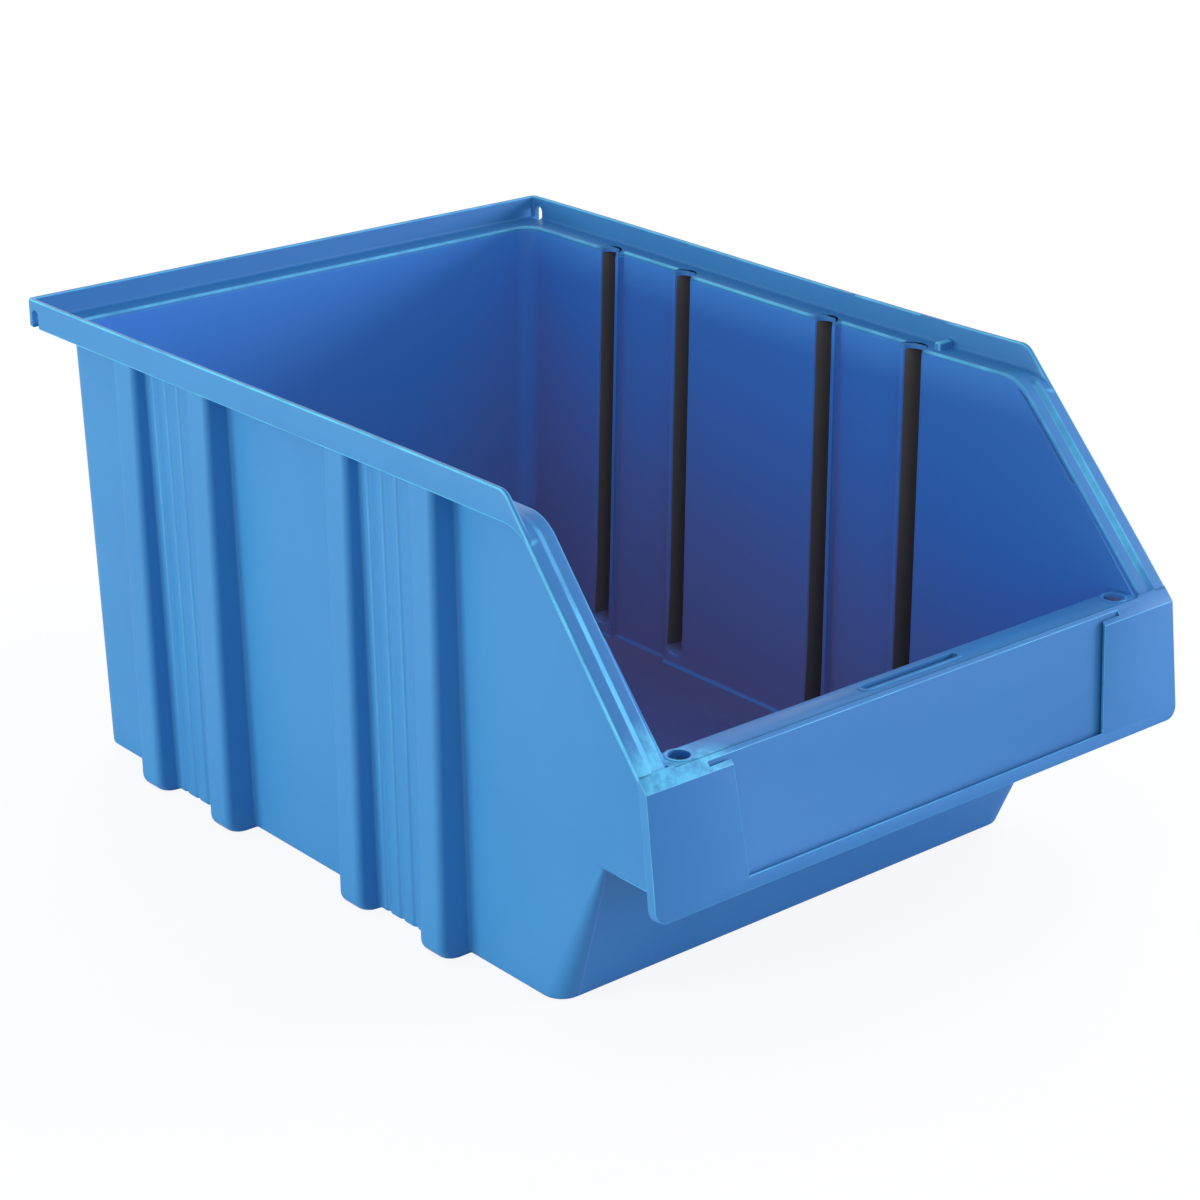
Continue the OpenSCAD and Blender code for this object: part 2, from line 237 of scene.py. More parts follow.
def faces_inside(x, y, z, normal):
    """Whether a point of a wall or a groove looks into the bin, as the rim's top doesn't. These points take
    the painted shade.
    """
    if z > LEDGE_Z - LEDGE_EDGE_R - 0.05:
        return False
    to_side = normal.x * math.copysign(1, x)
    beside_rib = min(abs(y - rib_y) for rib_y in RIB_YS)
    in_groove = FOOT_IN < abs(x) < RIB_FOOT - 0.5 and beside_rib < GROOVE_HALF + 0.1
    at_back = y > BACK_IN - NEAR_WALL and normal.y < -TURNED
    at_front = y < -FRONT_FOOT + NEAR_WALL and abs(x) < FOOT_IN + 3 and normal.y > TURNED
    at_side = abs(x) > FOOT_IN - NEAR_WALL and to_side < -TURNED
    return in_groove or at_back or at_front or at_side


def slope_painted_highlight(x, y, z):
    """The step along each slope gets a painted highlight, stronger towards the front."""
    if y > STRIPE_START or z < SHELF_Z or abs(z - ledge_line(y, STEP_DROP / 2)) > 1.2:
        return 0.0
    side = 1 if x > 0 else -1
    if abs(x - bowed(side * STEP_U, y, z)) > STEP_HALF + 0.1:
        return 0.0
    return min(1.0, 0.45 + (STRIPE_START - y) / 40)


def skin(rings, offset=0, open_at=None):
    """The quads that join rings of equal length one after another, but for the open ones."""
    size = len(rings[0])
    faces = []
    for i in range(len(rings) - 1):
        a, b = offset + i * size, offset + (i + 1) * size
        for k in range(size):
            n = (k + 1) % size
            if not (open_at and open_at(i, k)):
                faces.append((a + k, a + n, b + n, b + k))
    return faces


def rungs(start, size):
    """A cap of quads for a ring that runs up one face and down another by the same rows, as a
    single face across points that don't lie in one plane would stick out."""
    last = start + size - 1
    return [(start + k, start + k + 1, last - k - 1, last - k) for k in range(size // 2 - 1)]


def ring_solid(name, rings, sharp=CREASE, warp=True, dark=None, ladder=False):
    """Skins rings and caps both ends, by rungs where "ladder" is set. "dark" tells, by ring and point
    number, which faces take the second material, the near-black painted groove shade."""
    size = len(rings[0])
    verts = [p for ring in rings for p in ring]
    faces = skin(rings)
    sides, last = len(faces), (len(rings) - 1) * size
    shaded = [n for n in range(sides) if dark and dark(n // size, n % size)]
    if ladder:
        faces += rungs(0, size) + rungs(last, size)
        return make_object(name, verts, faces, sharp, warp, set(shaded), range(sides, len(faces)))
    faces.append(tuple(range(size)))
    faces.append(tuple(last + k for k in range(size)))
    return make_object(name, verts, faces, sharp, warp, set(shaded))


def quarter(r, steps):
    """A quarter round from (0, 0), tangent to the first axis, to (r, r)."""
    angles = [math.pi / 2 * i / steps for i in range(steps + 1)]
    return [(r * math.sin(t), r * (1 - math.cos(t))) for t in angles]


def apply_modifiers(obj):
    graph = bpy.context.evaluated_depsgraph_get()
    mesh = bpy.data.meshes.new_from_object(obj.evaluated_get(graph))
    old = obj.data
    obj.modifiers.clear()
    obj.data = mesh
    bpy.data.meshes.remove(old)
    mesh.name = obj.name
    return obj


def combine(obj, others, operation):
    """Cuts the others out of obj, or joins them to it, and removes them."""
    for other in others:
        boolean = obj.modifiers.new("combine", "BOOLEAN")
        boolean.operation = operation
        boolean.solver = "EXACT"
        boolean.object = other
        apply_modifiers(obj)
        bpy.data.objects.remove(other)
    return obj


def soften(obj, width, segments=2, angle=30.0, sharp=CREASE):
    """Rounds every crease of obj by width millimetres."""
    bm = bmesh.new()
    bm.from_mesh(obj.data)
    bmesh.ops.remove_doubles(bm, verts=bm.verts, dist=WELD)
    bmesh.ops.dissolve_limit(bm, angle_limit=math.radians(0.6), verts=bm.verts, edges=bm.edges)
    bm.to_mesh(obj.data)
    bm.free()
    bevel = obj.modifiers.new("soften", "BEVEL")
    bevel.width = width * MM
    bevel.segments = segments
    bevel.limit_method = "ANGLE"
    bevel.angle_limit = math.radians(angle)
    bevel.use_clamp_overlap = True
    bevel.harden_normals = False
    apply_modifiers(obj)
    finish_shading(obj.data, sharp)
    return obj


pieces = []


def keep(obj, *nodes):
    """Puts a finished piece on the body, in place of these CAD nodes."""
    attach(obj, BODY)
    if nodes:
        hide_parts(*nodes)
    pieces.append(obj)
    return obj


# ---------------------------------------------------------------- the rim's heights
def slope_z(y, drop=0.0):
    """Height of the straight slope at y, "drop" below it at right angles."""
    return TOP_Z + SLOPE_K * (y - SLOPE_TOP_Y) - drop / math.cos(SLOPE_A)


def ledge_line(y, drop=0.0, sink=0.0):
    """Height of the ledge, its bend or its slope at y, "sink" below the top face."""
    start = SLOPE_TOP_Y + (LEDGE_Z - TOP_Z + drop / math.cos(SLOPE_A)) / SLOPE_K
    centre_y = start + BEND_R * math.tan(SLOPE_A / 2)
    r = BEND_R - sink
    if y >= centre_y:
        return LEDGE_Z - sink
    if y >= centre_y - r * math.sin(SLOPE_A):
        return LEDGE_Z - BEND_R + math.sqrt(r * r - (y - centre_y) ** 2)
    return slope_z(y, drop + sink)


LIP_BEND_R = 5.0


def lip_top(y):
    """Height of the lip's top, with a rounded corner where the slope begins."""
    centre_y = SLOPE_TOP_Y + LIP_BEND_R * math.tan(SLOPE_A / 2)
    if y >= centre_y:
        return TOP_Z
    if y >= centre_y - LIP_BEND_R * math.sin(SLOPE_A):
        return TOP_Z - LIP_BEND_R + math.sqrt(LIP_BEND_R ** 2 - (y - centre_y) ** 2)
    return slope_z(y)


# ---------------------------------------------------------------- side walls, ribs and pads
EDGE_R = 1.0
RIB_R, RIB_ROOT_R, RIB_FOOT_R = 2.5, 0.8, 4.5
GROOVE_LIP_R, GROOVE_IN_R, GROOVE_FOOT_R = 0.8, 1.2, 2.2
FLUTE_HALF = 1.6
CUT = RIB_HALF + 1.8


def foot_round(z, r):
    """How far a face stands back at height z where its lower edge has radius r."""
    return r - math.sqrt(r * r - (r - z) ** 2) if z < r else 0.0


def outer_u(kind, off, z):
    """The outside of a wall, a rib or a fluted panel at height z."""
    if kind == "rib":
        return max(RIB_FOOT + RIB_DRAFT * z - foot_round(z, RIB_FOOT_R) - off, FOOT_OUT + DRAFT * z)
    out = PAD_OUT + FLUTE_DEEP if kind == "pad" else 0.0
    return FOOT_OUT + DRAFT * z + out + off - foot_round(z, EDGE_R)


def inner_u(kind, off, z):
    """The inside of a wall, a groove or a fluted panel at height z."""
    if kind == "groove":
        return RIB_FOOT - WALL_T + RIB_DRAFT * z - off
    out = PAD_OUT if kind == "pad" and z >= FLOOR_Z - 0.01 else 0.0
    return FOOT_IN + DRAFT * z + out + off


# Rows of the outer skin, and rows of the inner skin with how deep a groove may be there.
OUT_ROWS = [0, 0.13, 0.5, 1.0, 1.7, 2.7, 3.6, 4.5, 20, 60, 100, 130, UNDER_Z]
FULL = 99.0
IN_ROWS = [(0, 0), (FLOOR_Z - 0.02, 0), (FLOOR_Z, 0), (GROOVE_Z - GROOVE_LIP_R, 0)]
IN_ROWS += [(GROOVE_Z - GROOVE_LIP_R + a, b) for a, b in quarter(GROOVE_LIP_R, 3)[1:]]
IN_ROWS += [(GROOVE_Z + GROOVE_IN_R - a, -b) for a, b in reversed(quarter(GROOVE_IN_R, 3)[:-1])]
IN_ROWS += [(z, FULL) for z in (30, 70, 110, UNDER_Z)]


def groove_bump(dy):
    """The groove's foot is a rounded U: its rows rise towards the groove's sides."""
    reach = abs(dy) - (GROOVE_HALF - GROOVE_FOOT_R)
    if reach <= 0:
        return 0.0
    if abs(dy) <= GROOVE_HALF:
        return GROOVE_FOOT_R - math.sqrt(max(GROOVE_FOOT_R ** 2 - reach ** 2, 0))
    return GROOVE_FOOT_R * max(0.0, 1 - (abs(dy) - GROOVE_HALF) / (RIB_HALF + 0.8 - GROOVE_HALF))


def side_ring(side, column):
    """The wall's closed section at one station: up the outside and down the inside."""
    y_out, kind_out, off_out, y_in, kind_in, off_in, groove_dy = column
    ring = [(side * outer_u(kind_out, off_out, z), y_out, z) for z in OUT_ROWS]
    base = "pad" if kind_in == "pad" else "wall"
    inside = []
    for z, depth in IN_ROWS:
        height = z
        if groove_dy is not None and GROOVE_Z - GROOVE_LIP_R - 0.01 <= z <= GROOVE_Z + GROOVE_IN_R + 0.01:
            height = z + groove_bump(groove_dy)
        if kind_in in ("groove_wall", "groove_pad"):
            base = kind_in[7:]
            face_u = inner_u(base, 0, height)
            bottom = inner_u("groove", off_in, height)
            if depth >= FULL:
                u = bottom
            elif depth >= 0 and z < GROOVE_Z + 0.001 and depth <= GROOVE_LIP_R + 0.001:
                u = min(face_u + depth, bottom)
            else:
                u = min(inner_u("groove", -depth, height), bottom)
        else:
            limit = 0.0 if depth == 0 else FULL
            u = inner_u(base, min(off_in, abs(depth) if 0 < depth < FULL else limit), height)
        inside.append((side * u, y_in, height))
    return ring + inside[::-1]


def rib_columns(y, kind_plus, kind_minus):
    """Stations across one rib and the groove in it, from its +Y side to its -Y side. The groove's
    two lips lie in the wall's face, also where the panel beside them is set back."""
    half_out = [(RIB_HALF + RIB_ROOT_R - a, None, b) for a, b in quarter(RIB_ROOT_R, 4)]
    half_out += [(RIB_HALF - b, "rib", RIB_R - a) for a, b in quarter(RIB_R, 6)]
    half_in = [(RIB_HALF + d, None, 0.0) for d in (RIB_ROOT_R, 0.45, 0.1)]
    half_in += [(RIB_HALF - d, "lip", off) for d, off in ((0.0, 0.35), (0.1, 0.1), (0.35, 0.0))]
    half_in += [(GROOVE_HALF + GROOVE_LIP_R - a, "lip", b) for a, b in quarter(GROOVE_LIP_R, 2)]
    half_in += [(GROOVE_HALF - b, "groove", GROOVE_IN_R - a) for a, b in quarter(GROOVE_IN_R, 2)]
    columns = []
    for s, base in ((1, kind_plus), (-1, kind_minus)):
        part = []
        for (d_out, k_out, o_out), (d_in, k_in, o_in) in zip(half_out, half_in):
            kind_in = {"groove": "groove_wall", "lip": "wall", None: base}[k_in]
            if k_in == "lip" and d_in > GROOVE_HALF + GROOVE_LIP_R and base == "wall":
                o_in = 0.0
            part.append((y + s * d_out, k_out or base, o_out, y + s * d_in, kind_in, o_in, s * d_in))
        columns += part if s > 0 else part[::-1]
        if s > 0:
            columns.append((y, "rib", 0.0, y, "groove_wall", 0.0, 0.0))
    return columns


def groove_faces(columns):
    """Tells the faces inside a groove, by station and point number. They take the near-black painted shade.
    """
    inside = len(OUT_ROWS) + sum(depth >= FULL for _, depth in IN_ROWS)

    def dark(i, k):
        pair = columns[i], columns[i + 1]
        within = all(c[6] is not None and abs(c[6]) <= GROOVE_HALF + 0.01 for c in pair)
        return within and len(OUT_ROWS) <= k < inside + 2

    return dark


def flat_column(y, kind="wall", off=0.0):
    return (y, kind, off, y, kind, 0.0, None)


def pad_columns(y):
    """Stations across the fluted panel between two ribs."""
    columns = []
    for centre in FLUTE_AT:
        for i in range(-4, 5):
            d = FLUTE_HALF * i / 4
            valley = 0.5 * (1 + math.cos(math.pi * d / FLUTE_HALF))
            columns.append((centre - d, -FLUTE_DEEP * 1.25 * valley))
    return [flat_column(y + d, "pad", off) for d, off in columns]


REAR_CUT, FRONT_CUT = 130.0, RIB_YS[3] - CUT


def side_walls(name, side):
    groups = {}
    rib_kinds = [("wall", "pad"), ("pad", "wall"), ("wall", "pad"), ("pad", "wall")]
    for i, y in enumerate(RIB_YS):
        plus, minus = rib_kinds[i]
        columns = [flat_column(y + CUT, plus)] + rib_columns(y, plus, minus)
        groups["channel_%s_%d" % (name, i + 1)] = columns + [flat_column(y - CUT, minus)]
    for label, i in (("rear", 0), ("front", 2)):
        ends = RIB_YS[i] - CUT, RIB_YS[i + 1] + CUT
        middle = pad_columns((RIB_YS[i] + RIB_YS[i + 1]) / 2)
        columns = [flat_column(ends[0], "pad")] + middle + [flat_column(ends[1], "pad")]
        groups["pad_%s_%s" % (name, label)] = columns
    stretches = {"rear": (REAR_CUT, RIB_YS[0] + CUT), "mid": (RIB_YS[1] - CUT, RIB_YS[2] + CUT)}
    for label, (y0, y1) in stretches.items():
        steps = 12
        ys = [y0 + (y1 - y0) * i / steps for i in range(steps + 1)]
        groups["wall_%s_%s" % (name, label)] = [flat_column(y) for y in ys]
    for node, columns in groups.items():
        rings = [side_ring(side, c) for c in columns]
        keep(ring_solid("side_" + node, rings, dark=groove_faces(columns)), node)


# ---------------------------------------------------------------- front stretch of each side
FRONT_R_FOOT, FRONT_R_KNEE, GUARD = 7.0, 0.7, 0.4


def front_edge_y(z):
    return -FRONT_FOOT + FRONT_LEAN * z


def front_round(z):
    """Radius of the upright edge between side and front: wide at the foot, tight at the knee."""
    return FRONT_R_KNEE + (FRONT_R_FOOT - FRONT_R_KNEE) * (1 - z / KNEE[1]) ** 0.8


def front_end_u(z):
    """Where the side's mesh ends and the front wall's begins."""
    return FOOT_OUT + DRAFT * z - front_round(min(z, KNEE[1])) - GUARD


FOOT_ROWS = [0, 0.13, 0.5, 1.0, 3, 8, 16, 26, 36, 46, 50.5, KNEE[1]]
FLAT_STEPS, ARC_STEPS = 16, 8
CHEEK_YS = (KNEE[0] - 0.3, KNEE[0] - 3, -126, -134, -142)
CHEEK_EDGE_R = 0.6


def foot_ring(side, i):
    """Station i of the side below the label panel's foot, round its corner into the front."""
    outer, inner = [], []
    for z in FOOT_ROWS:
        shrink = foot_round(z, EDGE_R)
        edge, r = front_edge_y(z), front_round(z)
        u_full = FOOT_OUT + DRAFT * z
        r_u, r_y = max(r - WALL_T, 0.0), max(r - FRONT_SKIN, 0.0)
        u_in, y_in = u_full - WALL_T, edge + FRONT_SKIN
        if i <= FLAT_STEPS:
            t = i / FLAT_STEPS
            outer.append((side * (u_full - shrink), FRONT_CUT + t * (edge + r + GUARD - FRONT_CUT), z))
            inner.append((side * u_in, FRONT_CUT + t * (y_in + r_y + GUARD - FRONT_CUT), z))
            continue
        if i == FLAT_STEPS + ARC_STEPS + 2:
            outer.append((side * (u_full - r - GUARD), edge + shrink, z))
            inner.append((side * (u_full - r - GUARD), y_in, z))
            continue
        a = math.pi / 2 * (i - FLAT_STEPS - 1) / ARC_STEPS
        c, s = math.cos(a), math.sin(a)
        outer.append((side * (u_full - r + (r - shrink) * c), edge + r - (r - shrink) * s, z))
        inner.append((side * (u_in - r_u + r_u * c), y_in + r_y - r_y * s, z))
    return outer + inner[::-1]


def cheek_ring(side, y_out, y_in, r, lean=0.0):
    """A station of the side above that, up into the rim. The last one leans with the panel."""
    foot = KNEE[1]
    crown = ledge_line(y_out + lean * (SHELF_Z - foot), STEP_DROP, LEDGE_T * 0.6)
    levels = [foot + (crown - foot) * t for t in (0.03, 0.3, 0.6, 1.0)]
    outer = [(side * (FOOT_OUT + DRAFT * foot - r + a), y_out, foot + b) for a, b in quarter(r, 3)]
    outer += [(side * (FOOT_OUT + DRAFT * z), y_out + lean * (z - foot), z) for z in levels]
    inner = [(side * (FOOT_IN + DRAFT * z), y_in + lean * (z - foot), z) for z in [foot] + levels]
    return outer + inner[::-1]


def side_front(name, side):
    """The side from the last rib to the label panel: its foot and its cheek, welded together."""
    foot = [foot_ring(side, i) for i in range(FLAT_STEPS + ARC_STEPS + 3)]
    top = len(FOOT_ROWS) - 1
    stations = [(ring[top][1], ring[top + 1][1], 0.0) for ring in foot[:FLAT_STEPS + 1]]
    stations += [(y, y, CHEEK_EDGE_R) for y in CHEEK_YS]
    in_panel = FRONT_Y + PANEL_T / 2
    stations.append((in_panel, in_panel, CHEEK_EDGE_R, LEAN_K))
    cheek = [cheek_ring(side, *station) for station in stations]
    size = len(foot[0])
    faces = skin(foot, 0, lambda i, k: k == top and i < FLAT_STEPS)
    end_cap = rungs((len(foot) - 1) * size, size)
    flat = range(len(faces), len(faces) + len(end_cap))
    faces += end_cap
    start, cheek_size = len(foot) * size, len(cheek[0])
    faces += skin(cheek, start, lambda i, k: k == cheek_size - 1 and i < FLAT_STEPS)
    faces.append(tuple(start + (len(cheek) - 1) * cheek_size + k for k in range(cheek_size)))
    # The end at the last rib is one face for both, up the outside and down the inside.
    rows = len(FOOT_ROWS)
    end = list(range(rows)) + [start + k for k in range(4, cheek_size - 1)] + list(range(rows, size))
    faces.append(tuple(end))
    verts = [p for ring in foot + cheek for p in ring]
    return make_object("side_wall_%s_front" % name, verts, faces, flat=flat)


# ---------------------------------------------------------------- front wall and floor
def front_wall():
    """The leaning front wall: a closed outline across Y and Z, carried from side to side."""
    upper_lean = (front_low[1] - KNEE[0]) / (front_high[2] - KNEE[1])

    def outer_y(z):
        return front_edge_y(z) if z <= KNEE[1] else KNEE[0] + upper_lean * (z - KNEE[1])

    rows = FOOT_ROWS + [52.5, 55, 60, 74, front_high[2]]
    rings = []
    steps = 24
    for i in range(steps + 1):
        t = -1 + 2 * i / steps
        outer, inner = [], []
        for z in rows:
            half = front_end_u(z) if z <= KNEE[1] else FOOT_IN + DRAFT * z + 0.5
            outer.append((t * half, outer_y(z) + foot_round(z, EDGE_R), z))
            inner.append((t * half, outer_y(z) + FRONT_SKIN, z))
        rings.append(outer + inner[::-1])
    return ring_solid("front_wall_shell", rings, ladder=True)


def floor():
    """The floor plate, set into the walls all round."""
    over = 1.2
    half = FOOT_IN + over
    r = CORNER_R - WALL_T + over
    y_back = BACK_IN + over
    y_front = front_edge_y(FLOOR_Z) + over
    r_front = FRONT_R_FOOT - WALL_T + over
    outline = []
    for s, angles in ((-1, range(180, 271, 15)), (1, range(270, 361, 15))):
        for a in angles:
            c, d = math.cos(math.radians(a)), math.sin(math.radians(a))
            outline.append((s * (half - r_front) + r_front * c, y_front + r_front + r_front * d))
    for i in range(9):
        a = math.pi / 2 * i / 8
        outline.append((half - r + r * math.cos(a), y_back - r + r * math.sin(a)))
    for i in range(9):
        a = math.pi / 2 * (1 + i / 8)
        outline.append((-half + r + r * math.cos(a), y_back - r + r * math.sin(a)))
    wide = FOOT_IN + PAD_OUT + 0.8
    rings = [[(x, y, z) for x, y in outline] for z in (FLOOR_UNDER, FLOOR_Z)]
    plate = ring_solid("floor_plate", rings)
    half_pad = (RIB_YS[0] - RIB_YS[1]) / 2
    for y in PAD_YS:
        corners = [(-wide, y - half_pad), (wide, y - half_pad), (wide, y + half_pad), (-wide, y + half_pad)]
        strip = ring_solid("strip", [[(a, b, z) for a, b in corners] for z in (FLOOR_UNDER + 0.4, FLOOR_Z)])
        combine(plate, [strip], "UNION")
    finish_shading(plate.data, CREASE)
    return plate


# ---------------------------------------------------------------- back wall and its corners
def corner_point(side, u, v, z, r, angle):
    """Where a ray from the corner's centre meets an outline at u and v with corner radius r."""
    centre_u = FOOT_OUT - CORNER_R + DRAFT * z
    centre_v = CORNER_Y + BACK_DRAFT * z
    a, b = u - centre_u, v - centre_v
    r = max(min(r, a, b), 0.05)
    c, s = math.cos(angle), math.sin(angle)
    along_side = a / c if c > 1e-9 else 1e9
    along_back = b / s if s > 1e-9 else 1e9
    if along_side * s <= b - r + 1e-9:
        d = along_side
    elif along_back * c <= a - r + 1e-9:
        d = along_back
    else:
        pu, pv = a - r, b - r
        dot = c * pu + s * pv
        d = dot + math.sqrt(max(dot * dot - pu * pu - pv * pv + r * r, 0))
    return (side * (centre_u + d * c), centre_v + d * s, z)


CORNER_STEPS = 16


def corner_angles():
    return [math.pi / 2 * i / CORNER_STEPS for i in range(CORNER_STEPS + 1)]


def back_shell():
    """The back wall and both rear corners, in one sweep from side to side. Each station gives
    "section" a way to place a point of the outside or the inside at a height."""
    out_rows = [0, 0.13, 0.5, 1.0, 20, 60, 100, UNDER_Z]
    in_rows = [0, FLOOR_Z, 40, 80, 120, UNDER_Z]

    def section(place):
        return [place(True, z) for z in out_rows] + [place(False, z) for z in in_rows[::-1]]

    def side_at(side, y):
        def place(outside, z):
            u = (FOOT_OUT - foot_round(z, EDGE_R) if outside else FOOT_IN) + DRAFT * z
            return (side * u, y + BACK_DRAFT * z * (0 if y < CORNER_Y else 1), z)
        return section(place)

    def corner_at(side, angle):
        def place(outside, z):
            shrink = foot_round(z, EDGE_R) if outside else WALL_T
            u = FOOT_OUT - shrink + DRAFT * z
            v = BACK_IN + WALL_T - shrink + BACK_DRAFT * z
            return corner_point(side, u, v, z, CORNER_R - shrink, angle)
        return section(place)

    def back_at(t):
        def place(outside, z):
            shrink = foot_round(z, EDGE_R) if outside else WALL_T
            half = FOOT_OUT - CORNER_R + DRAFT * z
            return (t * half, BACK_IN + WALL_T - shrink + BACK_DRAFT * z, z)
        return section(place)

    rings = [side_at(-1, REAR_CUT), side_at(-1, REAR_CUT + 3)]
    rings += [corner_at(-1, a) for a in corner_angles()]
    rings += [back_at(-1 + 2 * i / 12) for i in range(1, 12)]
    rings += [corner_at(1, a) for a in reversed(corner_angles())]
    rings += [side_at(1, REAR_CUT + 3), side_at(1, REAR_CUT)]
    return ring_solid("back_wall_shell", rings)


# ---------------------------------------------------------------- the rim
LIP_R, LIP_FOOT_R, LEDGE_EDGE_R = 0.55, 0.9, 1.0
MOUTH_CORNER_R = 1.2
RIM_U = FOOT_IN + DRAFT * LEDGE_Z


def mouth_path(y):
    """Plan of the ledge's inner edge where a groove opens in it: (y, u)."""
    centre_u = RIM_U + MOUTH_DEEP - GROOVE_HALF
    start = math.asin((RIM_U + MOUTH_CORNER_R - centre_u) / GROOVE_HALF)
    side_y = GROOVE_HALF * math.cos(start)
    half = [(side_y + MOUTH_CORNER_R - a, RIM_U + b) for a, b in quarter(MOUTH_CORNER_R, 4)]
    for i in range(1, 7):
        angle = start + (math.pi / 2 - start) * i / 7
        half.append((GROOVE_HALF * math.cos(angle), centre_u + GROOVE_HALF * math.sin(angle)))
    path = [(y + d, u) for d, u in half] + [(y, centre_u + GROOVE_HALF)]
    return path + [(y - d, u) for d, u in reversed(half)]


def pad_step(y, s):
    """Plan of the edge where it steps back beside a rib to the panel's face, from the rib out."""
    steps = [(-0.35, 0.0), (-0.1, 0.1), (0.0, 0.35)]
    steps += [(0.1, PAD_OUT - 0.35), (0.2, PAD_OUT - 0.1), (0.45, PAD_OUT)]
    return [(y + s * (RIB_HALF + d), RIM_U + u) for d, u in steps]


# Stations of the rim: before the bend, closely round it, and down the slope.
FLAT_YS = [-80, -83, -85]
BEND_YS = [-86 - 0.75 * k for k in range(24)]
SLOPE_YS = [-106, -112, -120, -130, -138, -145.6]


def rim_path():
    """The ledge's inner edge from back to front: (y, u)."""
    path = [(REAR_CUT, RIM_U), (REAR_CUT - 3, RIM_U)]
    for i, y in enumerate(RIB_YS):
        if i % 2 == 0:
            path += [(y + 8, RIM_U)] + mouth_path(y) + pad_step(y, -1)
            path += [(y - 8, RIM_U + PAD_OUT)]
        else:
            path += [(y + 8, RIM_U + PAD_OUT)] + pad_step(y, 1)[::-1] + mouth_path(y)
            path += [(y - 8 - 6 * k, RIM_U) for k in range(4)]
    return path + [(y, RIM_U) for y in FLAT_YS + BEND_YS + SLOPE_YS]


def rim_section(edge, normal, y, heights):
    """One section of the rim: under the ledge, round its inner edge, over the step, up the lip
    and down its outer face. heights are the ledge's inner and outer strips and the lip's top."""
    z_in, z_out, z_top = heights
    y_edge, u_edge = edge
    points = []

    def from_edge(d, z):
        points.append((u_edge + normal[1] * d, y_edge + normal[0] * d, z))

    from_edge(1.6, z_in - LEDGE_T)
    from_edge(0.0, z_in - LEDGE_T)
    for a, b in quarter(LEDGE_EDGE_R, 4):
        from_edge(b, z_in - LEDGE_EDGE_R + a)
    lip_h = max(z_top - z_out, 0.0)
    rise = z_out - z_in
    beside = STEP_HALF + 0.4
    steps = ((-beside, 0.0), (-STEP_HALF, 0.0), (-0.4, 0.15), (0.4, 0.85), (STEP_HALF, 1.0), (beside, 1.0))
    for t, share in steps:
        points.append((STEP_U + t, y, z_in + rise * share))
    r = min(LIP_FOOT_R, lip_h * 0.45)
    for a, b in quarter(r, 3):
        points.append((LIP_U - r + a, y, z_out + b))
    r = min(LIP_R, max(lip_h * 0.45, 0.0))
    for a, b in quarter(r, 3):
        points.append((LIP_U + b, y, z_top - r + a))
    for a, b in quarter(LIP_R, 4):
        points.append((HALF_W - LIP_R + a, y, z_top - b))
    z_under = min(z_out - LEDGE_T, z_top - LEDGE_T)
    for a, b in reversed(quarter(LIP_R, 3)):
        points.append((HALF_W - LIP_R + a, y, z_under + b))
    points.append((LIP_U, y, z_under))
    points.append((STEP_U, y, z_under + 0.5 * (z_in - z_out)))
    return points


def path_normals(path):
    """Unit normals of the ledge's inner edge, pointing into the ledge: (along y, along u)."""
    normals = []
    for i in range(len(path)):
        a, b = path[max(i - 1, 0)], path[min(i + 1, len(path) - 1)]
        dy, du = b[0] - a[0], b[1] - a[1]
        length = math.hypot(dy, du)
        normals.append((du / length, -dy / length))
    return normals


def outer_stations(path):
    """A steadily falling y for the lip at each station, also where the edge doubles back."""
    ys = [p[0] for p in path]
    out = list(ys)
    i = 0
    while i < len(ys) - 1:
        if ys[i] - ys[i + 1] > 0.45:
            i += 1
            continue
        j = i + 1
        while j < len(ys) - 1 and ys[j] - ys[j + 1] <= 0.95:
            j += 1
        for k in range(i, j + 1):
            out[k] = ys[i] + (ys[j] - ys[i]) * (k - i) / (j - i)
        i = j
    return out


def side_rim(name, side):
    path = rim_path()
    rings = []
    for edge, normal, y in zip(path, path_normals(path), outer_stations(path)):
        heights = ledge_line(y, STEP_DROP), ledge_line(y), lip_top(y)
        section = rim_section(edge, normal, y, heights)
        rings.append([(side * u, py, z) for u, py, z in section])
    return ring_solid("rim_" + name, rings)


